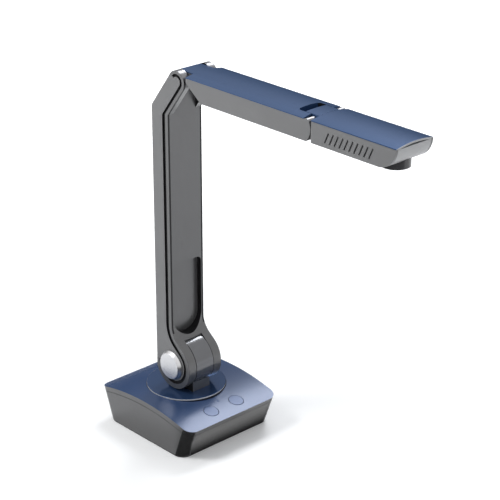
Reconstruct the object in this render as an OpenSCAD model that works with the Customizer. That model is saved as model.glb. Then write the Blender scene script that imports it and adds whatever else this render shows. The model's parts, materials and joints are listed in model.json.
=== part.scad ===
// Folding document camera on a weighted base.
// Millimetres. X is to the right, the front faces -Y, Z is up.
// The origin is the middle of the rubber pad, on the table.

/* [Base] */
// Width of the base, side to side
base_w = 112.4; // [104:0.2:124]
// Depth of the base along the edge of its lid
base_d = 132; // [128:1:144]
// Depth of the base at the table
foot_d = 109; // [104:1:118]
// Height of the lid at the middle of its crown
base_h = 40.2; // [38:0.2:42]
// Radius of the lid's crown, front to rear
crown_r = 250; // [230:5:320]
// Radius of the upright corners
base_corner_r = 10.5; // [8:0.5:14]
// Wall of the tray
base_wall = 2.4; // [2:0.1:3]
// Depth of the lid's band below its edge
lid_band = 4.8; // [4:0.1:6]
// Shadow line between the lid's edge and the tray
lid_gap = 0.4; // [0.2:0.1:0.8]
// Thickness of the lid
lid_t = 2.4; // [2:0.1:2.8]
// Thickness of the rubber pad
pad_t = 1; // [0.8:0.1:1.4]
// Distance from the pad's edge to the edge of the foot
pad_inset = 0.4; // [0.2:0.1:1]
// Thickness of the plate that closes the base
floor_t = 2.2; // [1.8:0.1:2.8]
// Thickness of the steel ballast
ballast_t = 7; // [5:0.5:8]
// Gap between the ballast and the posts beside it
ballast_gap = 1; // [0.6:0.1:6]
// Distance of the ballast from the front and the rear of the foot
ballast_inset = 21.5; // [20:0.5:26]

/* [Buttons] */
// Radius of a push button
button_r = 7; // [6:0.1:8]
// Distance of each button from the middle
button_x = 15.9; // [13:0.1:20]
// Distance of the buttons behind the front edge of the lid
button_front = 15.4; // [12:0.2:18]
// Gap round a button
button_gap = 0.45; // [0.25:0.05:0.6]
// How far a button stands out of the lid
button_proud = 0.2; // [0.1:0.1:0.6]
// Travel of a button
button_travel = 0.8; // [0.5:0.1:1]
// Radius of the status lamp
lamp_r = 1; // [0.8:0.1:1.5]
// Distance of the status lamp behind the buttons
lamp_back = 8.3; // [7:0.1:9]

/* [Turntable] */
// Radius of the disc
disc_r = 38.2; // [34:0.2:40]
// Distance of the disc's middle behind the middle of the base
disc_y = 3; // [0:0.5:6]
// Thickness of the disc
disc_t = 4; // [3.4:0.2:4.4]
// How far the disc stands above the lid's crown
disc_proud = 0.6; // [0.4:0.1:1.2]
// Running gap round and under the disc
disc_gap = 0.4; // [0.3:0.1:0.8]
// Outer radius of the swivel hub
hub_r = 13; // [11:0.5:15]
// Radius of the cable bore in the hub
hub_bore_r = 8; // [6:0.5:9]

/* [Lower pivot] */
// Gap between the column's boss and the disc
boss_gap = 1.5; // [1.2:0.1:4]
// Distance of the lower pivot in front of the middle
pivot_y = 0.8; // [0:0.2:2]
// Radius of the knuckle and of the column's boss
boss_r = 24.2; // [22:0.2:24.6]
// Width of each cheek beside the central knuckle
cheek_w = 9; // [8:0.5:10]
// Distance of the slot's upper edge in front of the pivot
slot_edge = 6.3; // [5:0.1:9]
// Depth of the pedestal's foot, front to rear
pedestal_d = 36; // [30:1:42]
// Radius of the pivot shaft
shaft_r = 5; // [4:0.5:6]
// Running clearance of shafts and pins, on the radius
fit_gap = 0.05; // [0.02:0.01:0.08]
// Radius of a pivot cap at the column
cap_r = 14.7; // [13.5:0.1:15.5]
// Radius of the flat face of a pivot cap
cap_face_r = 12.6; // [11:0.1:13.4]
// How far a pivot cap stands out
cap_h = 4.8; // [3:0.2:6]

/* [Column] */
// Width of the column
col_w = 40; // [38:0.5:44]
// Y of the column's rear face
col_back = 22; // [20:0.5:25]
// Wall of the column's covers
col_wall = 2; // [1.6:0.1:2.4]
// Side band of the front shell along the shaft
band_w = 3.9; // [3.4:0.1:4.8]
// Groove between the front shell and the rear cover
groove_w = 4; // [3:0.1:4.4]
// Groove round the boss
boss_groove_w = 3.1; // [2.4:0.1:3.4]
// Side band of the front shell round the boss
boss_band_w = 4.9; // [4.2:0.1:5.2]
// Side band of the front shell along the crank
crank_band_w = 3.1; // [2.8:0.1:3.6]
// Groove along the crank
crank_groove_w = 2.6; // [2:0.1:3]
// Depth of the groove
groove_depth = 1.6; // [1:0.1:2]
// Gap between the folded lens and the foot of its pocket
pocket_gap = 0.4; // [0.3:0.1:1]
// Length of the lens pocket
pocket_len = 74; // [66:0.5:82]
// Width of the rim beside the lens pocket
pocket_rim = 2.5; // [2.2:0.1:4]
// Depth of the lens pocket
pocket_depth = 5.6; // [5:0.1:6]
// Corner radius at the top of the lens pocket
pocket_corner_r = 5; // [3:0.5:8]

/* [Upper hinge] */
// Distance of the upper hinge in front of the middle
hinge_y = 12.8; // [12:0.1:14]
// Radius of the crank's end
crank_r = 10.4; // [10:0.1:10.8]
// Lean of the crank above the horizontal
crank_angle = 53; // [50:1:56]
// Width of each of the column's ears
ear_w = 7; // [6.6:0.1:8]
// Radius of the hinge pin
pin_r = 3; // [2.4:0.1:3.4]
// Gap between a tongue and its ears
side_gap = 0.5; // [0.3:0.1:0.7]

/* [Arm] */
// Width of the arm and of the head
arm_w = 43; // [41:0.5:46]
// Height of the sides of the arm and the head
arm_h = 19.4; // [18.6:0.2:20]
// Distance of the arm's underside below the upper hinge
arm_drop = 11.6; // [11.2:0.1:12.2]
// Height of the crown of the arm's and the head's covers
arm_crown = 2.3; // [1.6:0.1:2.8]
// Gap between the folded arm and the column
fold_gap = 0.9; // [0.7:0.1:1.2]
// Gap between the nose of the folded head and the column's boss
fold_clear = 1.75; // [1.6:0.05:8]
// Distance from the upper hinge to the upright end of the arm
arm_start = 14.3; // [14:0.1:15.4]
// Distance from the upper hinge to the head hinge
reach = 163; // [150:1:180]
// Wall of the arm and the head
arm_wall = 1.8; // [1.5:0.1:2.2]
// Thickness of the covers of the arm and the head
cover_t = 1.8; // [1.5:0.1:2.2]
// Radius of the arm's rounded front end
arm_end_r = 14; // [13:0.5:15]

/* [Head] */
// Distance of the head hinge above the upper hinge
head_hinge_up = 4.2; // [3.8:0.1:4.4]
// Radius of the head hinge's barrels
barrel_r = 3.8; // [3.4:0.1:4]
// Width of each of the head hinge's barrels
barrel_w = 9; // [8:0.5:11]
// Distance from the head hinge to the head's rear edge
head_gap = 5.5; // [5.3:0.1:6]
// Length of the head
head_len = 93.4; // [92:0.2:98]
// Thickness of the side plates beside the grey panel at the front
side_plate_t = 2.3; // [2:0.1:3.5]
// Length of the scoop behind the head's tongue
scoop_len = 7.6; // [7:0.2:11]
// Radius of the scoop's rear corners
scoop_r = 3.5; // [2:0.5:5]
// Number of vents in each side
vent_count = 10; // [6:1:12]
// Distance between vents
vent_pitch = 5.42; // [4.6:0.02:5.6]
// Width of a vent
vent_w = 1.5; // [1:0.1:2]
// Height of a vent
vent_h = 10.5; // [8:0.5:11]
// Lean of a vent away from upright
vent_lean = 24; // [0:1:30]
// Distance of the first vent from the head's rear edge
vent_start = 17.9; // [14:0.1:20]
// Distance of the lens from the head hinge
lens_reach = 79.4; // [78.6:0.2:80.2]
// Radius of the lens ring
lens_r = 12.5; // [11:0.1:13]
// How far the lens stands below the head
lens_proud = 4; // [3:0.2:4.4]

/* [Hidden] */

$fn = 96;
// Facets round a corner that is lofted
loft_fn = 32;
// Overrun of a cut past the face it opens
over = 1;
// Gap between neighbouring mouldings
seam = 0.1;
// Thickness of the plates that a loft runs between
skin = 0.02;

// Levels of the base
foot_z = pad_t;
edge_h = base_h - crown_r + sqrt(crown_r * crown_r - base_d * base_d / 4);
base_slope = (base_d - foot_d) / 2 / (edge_h - foot_z);
floor_z = foot_z + floor_t;

// Turntable levels
disc_top = base_h + disc_proud;
disc_under = disc_top - disc_t;
recess_z = disc_under - disc_gap;
collar_h = 3.2;
retainer_t = 2.4;
hub_end = recess_z - lid_t - collar_h - retainer_t;

// Widths that are left between the parts at both sides
knuckle_w = col_w - 2 * cheek_w - 2 * side_gap;
tongue_w = col_w - 2 * ear_w - 2 * side_gap;
pocket_w = col_w - 2 * pocket_rim;
head_tongue_w = arm_w - 2 * barrel_w - 2 * side_gap;
panel_w = arm_w - 2 * side_plate_t;

// Lengths along the arm and the head, from the upper hinge
head_back = -hinge_y - reach - head_gap;
head_front = head_back - head_len;
nose_r = arm_h;
nose_reach = -(head_front + nose_r) - hinge_y;

// Places of the joints in the side view, as [y, z]. The column is as long as
// the folded arm and head need above its boss.
nose_drop = hinge_y + arm_h - arm_drop - pivot_y;
pivot_z = disc_top + boss_r + boss_gap;
hinge_z = pivot_z + nose_reach + sqrt(pow(boss_r + nose_r + fold_clear, 2) - nose_drop * nose_drop);
pivot = [-pivot_y, pivot_z];
hinge = [-hinge_y, hinge_z];
arm_bottom = hinge_z - arm_drop;
arm_top = arm_bottom + arm_h;
head_hinge = [-hinge_y - reach, hinge_z + head_hinge_up];

// The pocket lies where the folded lens does
pocket_bottom = hinge_z - reach - lens_reach - lens_r - pocket_gap;
pocket_top = pocket_bottom + pocket_len;

// Folded against the column, the arm's underside lies fold_gap in front of it
col_front = -hinge_y + arm_drop + fold_gap;
folded_nose = [-hinge_y - (arm_top - hinge_z), hinge_z - nose_reach];

// Crank: its normal points up and to the rear
crank_n = [sin(crank_angle), cos(crank_angle)];
crank_mid = crank_n * hinge;

function crown_z(y, d = 0) = base_h - crown_r + sqrt(pow(crown_r - d, 2) - y * y);
function depth_at(z) = foot_d + 2 * base_slope * (z - foot_z);

// Corners of a rectangle of pitch w by d
function corners(w, d) = [for (sx = [-1, 1], sy = [-1, 1]) [sx * w / 2, sy * d / 2]];

module rounded_plate(w, d, r, h) {
    difference() {
        translate([-w / 2, -d / 2, 0]) cube([w, d, h]);
        for (sx = [0, 1], sy = [0, 1])
            mirror([sx, 0, 0]) mirror([0, sy, 0])
                translate([w / 2 - r, d / 2 - r, -over]) difference() {
                    cube([r + over, r + over, h + 2 * over]);
                    translate([0, 0, -over]) cylinder(r = r, h = h + 4 * over);
                }
    }
}

// The base's outer form, drawn in by inset, between two levels
module base_loft(inset, z0, z1) {
    r = base_corner_r - inset;
    hull()
        for (z = [z0, z1 - skin])
            for (c = corners(base_w - 2 * base_corner_r, depth_at(z) - 2 * base_corner_r))
                translate([c[0], c[1], z]) cylinder(r = r, h = skin, $fn = loft_fn);
}

// All that lies under the crown, d below its surface
module under_crown(d) {
    translate([-base_w, 0, base_h - crown_r])
        rotate([0, 90, 0]) cylinder(r = crown_r - d, h = 2 * base_w, $fn = 360);
}

// Draws a side-view outline out along X, from x0 to x1
module side_extrude(x0, x1) {
    translate([x0, 0, 0]) rotate([90, 0, 90]) linear_extrude(x1 - x0) children();
}

// The same on both sides of the middle
module both_sides(x0, x1) {
    side_extrude(x0, x1) children();
    mirror([1, 0, 0]) side_extrude(x0, x1) children();
}

// A rod along X
module rod(c, r, x0, x1) {
    translate([x0, c[0], c[1]]) rotate([0, 90, 0]) cylinder(r = r, h = x1 - x0);
}

// A screw with its head down at the origin, pointing up
module screw(r, len) {
    head_share = 1.8;
    difference() {
        union() {
            cylinder(r = r, h = len);
            cylinder(r = head_share * r, h = r);
        }
        translate([0, 0, -over]) cylinder(r = r * 0.7, h = over + r * 0.7, $fn = 6);
    }
}

/* Base */
lid_boss_r = 4;
lid_boss_pitch = [base_w - 6 * base_wall - 2 * lid_boss_r, foot_d - 8 * base_wall - 2 * lid_boss_r];
screw_r = 1.5;
foot_screw_pitch = [base_w - 6 * base_wall - 2 * lid_boss_r, foot_d / 3];
ballast_z = floor_z + seam;
ballast_w = foot_screw_pitch[0] - 2 * lid_boss_r - 2 * ballast_gap;
ballast_d = foot_d - 2 * ballast_inset;

module rubber_base_pad() {
    color("#1c1c1e")
        rounded_plate(base_w - 2 * pad_inset, foot_d - 2 * pad_inset, base_corner_r - pad_inset, pad_t);
}

module bottom_plate() {
    color("#3c3d40")
        difference() {
            union() {
                translate([0, 0, foot_z])
                    rounded_plate(base_w - 2 * base_wall - 2 * seam, foot_d - 2 * base_wall - 2 * seam,
                        base_corner_r - base_wall, floor_t);
                for (sx = [-1, 1])
                    translate([sx * (board_w / 2 - lid_boss_r), board_y + board_d / 4, foot_z])
                        cylinder(r = lid_boss_r, h = board_z - foot_z);
            }
            for (c = concat(corners(lid_boss_pitch[0], lid_boss_pitch[1]),
                    corners(foot_screw_pitch[0], foot_screw_pitch[1])))
                translate([c[0], c[1], 0]) cylinder(r = screw_r * 1.2, h = floor_z + over);
            for (c = concat(corners(lid_boss_pitch[0], lid_boss_pitch[1]),
                    corners(foot_screw_pitch[0], foot_screw_pitch[1])))
                translate([c[0], c[1], 0]) cylinder(r = screw_r * 2, h = foot_z + screw_r + 2 * seam);
        }
}

// Both sets of screws stand in the counterbores of the plate
module lid_screws() {
    color("#a8abb0")
        for (c = corners(lid_boss_pitch[0], lid_boss_pitch[1]))
            translate([c[0], c[1], foot_z + seam]) screw(screw_r, edge_h / 2);
}

module bottom_screws() {
    color("#a8abb0")
        for (c = corners(foot_screw_pitch[0], foot_screw_pitch[1]))
            translate([c[0], c[1], foot_z + seam]) screw(screw_r, 3 * floor_t);
}

usb_w = 12;
usb_h = 11;
usb_len = 14;
usb_wall = 0.8;
usb_gap = 1.5;
usb_z = edge_h - lid_band - usb_h - usb_gap;
board_t = 1.6;
board_w = lid_boss_pitch[0] - 6.5 * lid_boss_r;
board_d = 11;
board_z = usb_z - board_t;
usb_back = depth_at(usb_z) / 2 - base_wall / 3;
board_y = usb_back - usb_len;

module base_housing() {
    post_r = lid_boss_r;
    color("#76777a")
        difference() {
            union() {
                difference() {
                    intersection() {
                        base_loft(0, foot_z, base_h + over);
                        under_crown(lid_band + lid_gap);
                    }
                    base_loft(base_wall, floor_z, base_h + 2 * over);
                    translate([0, 0, -over])
                        rounded_plate(base_w - 2 * base_wall, foot_d - 2 * base_wall,
                            base_corner_r - base_wall, floor_z + 2 * over);
                }
                // Posts for the screws of the plate, tied to the side walls
                for (c = corners(foot_screw_pitch[0], foot_screw_pitch[1])) {
                    translate([c[0], c[1], floor_z + seam]) cylinder(r = post_r, h = 4 * floor_t);
                    translate([min(c[0], sign(c[0]) * base_w / 2 - sign(c[0]) * base_wall / 2),
                            c[1] - base_wall / 2, floor_z + seam])
                        cube([abs(base_w / 2 - base_wall / 2 - abs(c[0])), base_wall, 4 * floor_t]);
                }
            }
            for (c = corners(foot_screw_pitch[0], foot_screw_pitch[1]))
                translate([c[0], c[1], 0]) cylinder(r = screw_r, h = floor_z + 3 * floor_t);
            // Mouth of the socket
            translate([-usb_w / 2 - seam, usb_back - usb_len, usb_z - seam])
                cube([usb_w + 2 * seam, 2 * usb_len, usb_h + 2 * seam]);
        }
}

button_y = base_d / 2 - button_front;
button_z = crown_z(button_y);
lamp_y = button_y - lamp_back;
switch_drop = 7.2;
switch_board_z = button_z - lid_t - switch_drop;
board_post_r = 2.2;
board_post_x = button_x - button_r - button_gap - board_post_r - 2 * seam;

module button_hole(sx) {
    translate([sx * button_x, -button_y, floor_z]) cylinder(r = button_r + button_gap, h = base_h);
}

module base_lid() {
    color("#7d8db4")
        difference() {
            union() {
                difference() {
                    intersection() {
                        base_loft(0, foot_z, base_h + over);
                        under_crown(0);
                    }
                    under_crown(lid_band);
                    intersection() {
                        base_loft(base_wall, foot_z, base_h + 2 * over);
                        under_crown(lid_t);
                    }
                }
                // Bosses for the lid's screws
                intersection() {
                    for (c = corners(lid_boss_pitch[0], lid_boss_pitch[1]))
                        translate([c[0], c[1], edge_h / 3]) cylinder(r = lid_boss_r, h = base_h);
                    under_crown(lid_t / 2);
                }
                // Posts for the button board
                intersection() {
                    for (sx = [-1, 1])
                        translate([sx * board_post_x, -button_y, switch_board_z + board_t])
                            cylinder(r = board_post_r, h = base_h);
                    under_crown(lid_t / 2);
                }
                // Well under the disc, with its collar
                translate([0, disc_y, recess_z - lid_t])
                    cylinder(r = disc_r + disc_gap + lid_t, h = lid_t + crown_z(disc_y + disc_r) - recess_z);
                translate([0, disc_y, hub_end + retainer_t])
                    cylinder(r = hub_r + 1.5 * lid_t, h = lid_t + collar_h);
            }
            translate([0, disc_y, recess_z]) cylinder(r = disc_r + disc_gap, h = base_h);
            translate([0, disc_y, 0]) cylinder(r = hub_r + fit_gap, h = base_h);
            for (sx = [-1, 1]) button_hole(sx);
            translate([0, -lamp_y, floor_z]) cylinder(r = lamp_r + fit_gap, h = base_h);
            for (c = corners(lid_boss_pitch[0], lid_boss_pitch[1]))
                translate([c[0], c[1], 0]) cylinder(r = screw_r, h = foot_z + edge_h / 2 + over);
        }
}

module ballast_plate() {
    color("#8b8f94")
        translate([0, -base_wall, ballast_z]) rounded_plate(ballast_w, ballast_d, base_wall, ballast_t);
}

module main_board() {
    color("#2d6a42")
        translate([-board_w / 2, board_y, board_z]) cube([board_w, board_d, board_t]);
}

module usb_socket() {
    color("#c3c5c8")
        translate([-usb_w / 2, usb_back - usb_len, usb_z]) difference() {
            cube([usb_w, usb_len, usb_h]);
            translate([usb_wall, usb_len / 4, usb_wall])
                cube([usb_w - 2 * usb_wall, usb_len, usb_h - 2 * usb_wall]);
        }
}

module button_board() {
    color("#2d6a42")
        translate([-button_x - button_r, -button_y - button_r, switch_board_z])
            cube([2 * button_x + 2 * button_r, button_r + lamp_back + 2 * lamp_r, board_t]);
}

switch_h = 3.2;
stem_gap = 0.1;

module button_switches() {
    color("#33343a")
        for (sx = [-1, 1])
            translate([sx * button_x - switch_h, -button_y - switch_h, switch_board_z + board_t])
                cube([2 * switch_h, 2 * switch_h, switch_h / 2]);
}

module status_lamp() {
    color("#9fc8ff")
        translate([0, -lamp_y, switch_board_z + board_t])
            cylinder(r = lamp_r, h = crown_z(lamp_y) - switch_board_z - board_t);
}

module bearing_ring() {
    color("#d9d9d2")
        translate([0, disc_y, recess_z]) difference() {
            cylinder(r = disc_r * 0.8, h = disc_gap);
            translate([0, 0, -over]) cylinder(r = disc_r * 0.66, h = disc_gap + 2 * over);
        }
}

// A button: a cap in the lid, a collar that keeps it in, and a stem over its switch
module button(sx) {
    cap_z = button_z - 2 * lid_t;
    stem_end = switch_board_z + board_t + switch_h / 2 + stem_gap + button_travel;
    color("#8a97b8")
        intersection() {
            translate([sx * button_x, -button_y, 0]) {
                translate([0, 0, cap_z]) cylinder(r = button_r, h = base_h);
                translate([0, 0, stem_end]) cylinder(r = button_r / 3, h = base_h);
            }
            under_crown(-button_proud);
        }
}

module button_left() button(-1);
module button_right() button(1);

/* Turntable */
pedestal_screw_at = [for (c = corners(knuckle_w / 2, pedestal_d * 0.75)) [c[0], c[1] - pivot_y]];

module turntable_disc() {
    color("#5a6b90")
        translate([0, disc_y, disc_under]) difference() {
            rotate_extrude() difference() {
                square([disc_r, disc_t]);
                translate([disc_r - disc_gap, disc_t - disc_gap]) difference() {
                    square([2 * disc_gap, 2 * disc_gap]);
                    circle(r = disc_gap);
                }
            }
            translate([0, 0, -over]) cylinder(r = hub_bore_r, h = disc_t + 2 * over);
            for (c = pedestal_screw_at)
                translate([c[0], c[1] - disc_y, -over]) cylinder(r = screw_r, h = disc_t + 2 * over);
        }
}

module swivel_hub() {
    color("#6b6d70")
        translate([0, disc_y, hub_end]) difference() {
            cylinder(r = hub_r, h = disc_under - hub_end);
            translate([0, 0, -over]) cylinder(r = hub_bore_r, h = disc_under + base_h);
        }
}

module swivel_retainer() {
    color("#b9bbbd")
        translate([0, disc_y, hub_end]) difference() {
            cylinder(r = hub_r + 1.5 * lid_t, h = retainer_t - seam);
            translate([0, 0, -over]) cylinder(r = hub_r, h = retainer_t + 2 * over);
        }
}

knuckle_r = boss_r + fit_gap * 2;

module pedestal() {
    color("#6f7073")
        difference() {
            union() {
                rod(pivot, knuckle_r, -knuckle_w / 2, knuckle_w / 2);
                translate([-knuckle_w / 2, -pivot_y - pedestal_d / 2, disc_top])
                    cube([knuckle_w, pedestal_d, pivot_z - disc_top]);
            }
            rod(pivot, shaft_r, -knuckle_w, knuckle_w);
            // Way for the cable
            translate([0, disc_y, disc_top - over]) cylinder(r = hub_bore_r * 0.8, h = over + boss_r / 3);
            for (c = pedestal_screw_at)
                translate([c[0], c[1], disc_top - over]) cylinder(r = screw_r, h = over + 2 * disc_t);
        }
}

module pedestal_screws() {
    color("#a8abb0")
        for (c = pedestal_screw_at)
            translate([c[0], c[1], disc_under]) cylinder(r = screw_r, h = disc_t * 2.5);
}

shaft_end = col_w / 2 + cap_h / 2;

module pivot_shaft() {
    color("#b4b7bb") rod(pivot, shaft_r, -shaft_end, shaft_end);
}

/* Column */
// Side view of the column, with its front edge drawn in: by ds along the
// shaft, dc along the crank and db round the boss
module column_outline(ds, dc, db) {
    front = col_front + ds;
    r_boss = boss_r - db;
    r_nose = nose_r + fold_gap + ds;
    r_end = crank_r - dc;
    away = folded_nose - pivot;
    gap = norm(away);
    u = away / gap;
    v = [-u[1], u[0]];
    c = (r_boss + r_nose) / gap;
    side = c < 1 ? c * u + sqrt(1 - c * c) * v : u;
    front_bend = [front, (crank_mid - crank_r + dc - crank_n[0] * front) / crank_n[1]];
    back_bend = [col_back, (crank_mid + crank_r - crank_n[0] * col_back) / crank_n[1]];
    intersection() {
        union() {
            translate(pivot) circle(r = r_boss);
            translate(hinge) circle(r = r_end);
            polygon([
                [front, pivot_z], [col_back, pivot_z], back_bend,
                hinge + crank_r * crank_n, hinge, hinge - r_end * crank_n, front_bend
            ]);
            // Fairing that runs from the boss round the folded nose
            difference() {
                polygon([pivot, pivot + r_boss * side, folded_nose - r_nose * side,
                    [front, folded_nose[1]], [col_back, folded_nose[1]], [col_back, pivot_z]]);
                translate(folded_nose) circle(r = r_nose);
            }
        }
        // Nothing stands behind the rear face, or past the end of the crank
        translate([-2 * hinge_z, 0]) square([2 * hinge_z + col_back, 2 * hinge_z]);
    }
}

module column_outer() column_outline(0, 0, 0);
module column_band_edge() column_outline(band_w, crank_band_w, boss_band_w);
module column_cover_edge()
    column_outline(band_w + groove_w, crank_band_w + crank_groove_w, boss_band_w + boss_groove_w);

half_w = col_w / 2;
inner_w = half_w - groove_depth;
slot_x = knuckle_w / 2 + side_gap;
fork_x = tongue_w / 2 + side_gap;
pocket_z = pocket_bottom + pocket_w / 2;
pocket_floor = col_front + pocket_depth;

// The slot between the lower cheeks, where the knuckle and the pedestal turn
module knuckle_slot() {
    rod(pivot, knuckle_r + side_gap, -slot_x, slot_x);
    side_extrude(-slot_x, slot_x)
        polygon([
            pivot + [-slot_edge, 0], pivot + [-slot_edge, 2 * boss_r], pivot + [-2 * boss_r, 2 * boss_r],
            pivot + [-2 * boss_r, -2 * boss_r], pivot + [boss_r, -2 * boss_r],
            pivot + [boss_r, -boss_r / 2], pivot
        ]);
}

// The fork between the upper ears, where the arm's tongue turns
module tongue_slot() {
    rod(hinge, crank_r + side_gap, -fork_x, fork_x);
    side_extrude(-fork_x, fork_x) fork_channel(0);
}

// Side view of the channel between the ears, grown by t towards the rear
module fork_channel(t) {
    bend_z = (crank_mid - crank_r - crank_n[0] * col_front) / crank_n[1];
    polygon([
        [col_front - over, bend_z - t], [col_front + t, bend_z - t],
        [col_front + t, bend_z + 4 * band_w],
        hinge + (crank_r - 1.7 * col_wall + t) * crank_n, hinge, hinge - 3 * crank_r * crank_n
    ]);
}

module lens_pocket_cut(grow, depth) {
    w = pocket_w / 2 + grow;
    r = pocket_corner_r + grow;
    translate([0, col_front + depth, 0]) rotate([90, 0, 0]) linear_extrude(depth + boss_r) {
        translate([0, pocket_z]) circle(r = w);
        translate([-w, pocket_z]) square([2 * w, pocket_top + grow - r - pocket_z]);
        translate([-w + r, pocket_z]) square([2 * w - 2 * r, pocket_top + grow - pocket_z]);
        for (sx = [-1, 1]) translate([sx * (w - r), pocket_top + grow - r]) circle(r = r);
    }
}

module column_front_shell() {
    color("#6a6a6c")
        difference() {
            union() {
                // Side bands, and the flange that stands in the groove
                both_sides(inner_w - over, half_w) difference() {
                    column_outer();
                    column_band_edge();
                }
                both_sides(inner_w - col_wall, inner_w) difference() {
                    column_outer();
                    column_outline(band_w + groove_w - seam, crank_band_w + crank_groove_w - seam,
                        boss_band_w + boss_groove_w - seam);
                }
                // Front wall
                side_extrude(-inner_w, inner_w) difference() {
                    column_outer();
                    column_outline(col_wall, col_wall, col_wall);
                }
                // Cheeks of the lower slot and of the upper fork
                both_sides(slot_x, slot_x + col_wall) intersection() {
                    column_outer();
                    translate([-2 * boss_r, 0])
                        square([2 * boss_r + col_back - col_wall - seam, pocket_bottom]);
                }
                both_sides(fork_x, spine_x - seam) difference() {
                    intersection() {
                        column_outer();
                        translate([-2 * hinge_z, hinge_z - 4 * crank_r]) square(2 * hinge_z + col_back);
                    }
                    rear_skin();
                }
                // Floor of the channel between the ears
                side_extrude(-spine_x + seam, spine_x - seam) intersection() {
                    column_outer();
                    fork_channel(col_wall / 2);
                }
                // Tub of the lens pocket
                intersection() {
                    lens_pocket_cut(col_wall, pocket_depth + col_wall);
                    side_extrude(-inner_w, inner_w) column_outer();
                }
            }
            knuckle_slot();
            tongue_slot();
            lens_pocket_cut(0, pocket_depth);
            rod(pivot, shaft_r * 1.6 + seam, -half_w, half_w);
            rod(hinge, pin_r, -half_w, half_w);
        }
}

// What the rear cover takes up at the rear face, in the side view
module rear_skin() {
    t = col_wall + seam;
    back_bend = [col_back, (crank_mid + crank_r - crank_n[0] * col_back) / crank_n[1]];
    translate([col_back - t, 0]) square([boss_r, back_bend[1]]);
    polygon([back_bend - t * crank_n, hinge + (crank_r - t) * crank_n, hinge + 3 * crank_r * crank_n,
        back_bend + [3 * crank_r, 0], [col_back - t, back_bend[1] - t]]);
}

module column_rear_cover() {
    color("#828284")
        difference() {
            union() {
                both_sides(inner_w + seam, half_w) column_cover_edge();
                side_extrude(-half_w, half_w) intersection() {
                    column_cover_edge();
                    rear_cover_back();
                }
            }
            knuckle_slot();
            rod(hinge, crank_r + side_gap, -fork_x, fork_x);
            rod(pivot, shaft_r + fit_gap, -half_w - over, half_w + over);
        }
}

// The rear wall of the cover, in the side view
module rear_cover_back() {
    back_bend = [col_back, (crank_mid + crank_r - crank_n[0] * col_back) / crank_n[1]];
    translate([col_back - col_wall, 0]) square([boss_r, back_bend[1]]);
    polygon([back_bend - col_wall * crank_n, hinge + (crank_r - col_wall) * crank_n,
        hinge + 3 * crank_r * crank_n, back_bend + [3 * crank_r, 0],
        [col_back - col_wall, back_bend[1] - col_wall]]);
}

spine_t = 2;
spine_x = inner_w - col_wall - seam - spine_t;
spine_front = pocket_floor + col_wall + seam * 3;
spine_back = col_back - col_wall - 2.5 * col_wall;

module spine_side() {
    back_bend = [spine_back, (crank_mid + crank_r - crank_n[0] * col_back) / crank_n[1]];
    translate(pivot) circle(r = shaft_r * 2.6);
    translate(hinge) circle(r = pin_r * 2);
    polygon([
        pivot + [-shaft_r, shaft_r * 2], [spine_front, pocket_bottom + boss_r / 4],
        [spine_front, hinge_z - 3.4 * crank_r], hinge - 2 * pin_r * crank_n, hinge + 2 * pin_r * crank_n,
        [spine_back, hinge_z - 3.1 * crank_r], [spine_back, pivot_z], pivot
    ]);
}

module column_spine() {
    color("#3a3b3e")
        difference() {
            union() {
                both_sides(spine_x, spine_x + spine_t) spine_side();
                translate([-spine_x, spine_back - spine_t, pocket_bottom + col_wall])
                    cube([2 * spine_x, spine_t, hinge_z - 4 * crank_r - pocket_bottom - col_wall]);
            }
            rod(pivot, shaft_r * 1.6, -half_w, half_w);
            rod(hinge, pin_r, -half_w, half_w);
            for (x = [-1, 1], z = spine_screw_z)
                translate([x * spine_screw_x, spine_back + over, z]) rotate([90, 0, 0])
                    cylinder(r = screw_r, h = spine_t + 2 * over);
        }
}

spine_screw_z = [pocket_bottom + boss_r, (pocket_bottom + hinge_z) / 2, hinge_z - 4 * crank_r - boss_r];
spine_screw_x = spine_x - 2.4 * screw_r;

module column_screws() {
    color("#a8abb0")
        for (x = [-1, 1], z = spine_screw_z)
            translate([x * spine_screw_x, spine_back + screw_r, z]) rotate([90, 0, 0])
                screw(screw_r, spine_back + screw_r - pocket_floor - col_wall);
}

module pivot_bushes() {
    color("#b08d4f")
        for (sx = [0, 1]) mirror([sx, 0, 0]) difference() {
            rod(pivot, shaft_r * 1.6, slot_x, spine_x + spine_t);
            rod(pivot, shaft_r + fit_gap, slot_x - over, half_w);
        }
}

// Thin washers that hold the column where it is set
module friction_washers() {
    color("#8c6f3c")
        for (sx = [0, 1]) mirror([sx, 0, 0]) difference() {
            rod(pivot, shaft_r * 2.6, knuckle_w / 2 + seam / 2, slot_x - seam / 2);
            rod(pivot, shaft_r + fit_gap, 0, half_w);
        }
}

module pivot_cap() {
    back = cap_h / 3;
    translate([half_w, pivot[0], pivot[1]]) rotate([0, 90, 0]) difference() {
        rotate_extrude() polygon([
            [0, seam], [cap_r, seam], [cap_r, back], [cap_face_r, cap_h], [0, cap_h]
        ]);
        translate([0, 0, -over]) cylinder(r = shaft_r + fit_gap, h = over + cap_h / 2 + 3 * seam);
    }
}

module pivot_cap_right() color("#c9cacc") pivot_cap();
module pivot_cap_left() color("#c9cacc") mirror([1, 0, 0]) pivot_cap();

cable_w = 14;
cable_t = 0.6;

module column_ribbon_cable() {
    color("#c8c4b8")
        translate([-cable_w / 2, spine_back - spine_t - seam - cable_t, pocket_bottom + boss_r / 4])
            cube([cable_w, cable_t, hinge_z - 5 * crank_r - pocket_bottom]);
}

module upper_hinge_pin() {
    color("#b4b7bb") rod(hinge, pin_r, -spine_x - spine_t, spine_x + spine_t);
}

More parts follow.
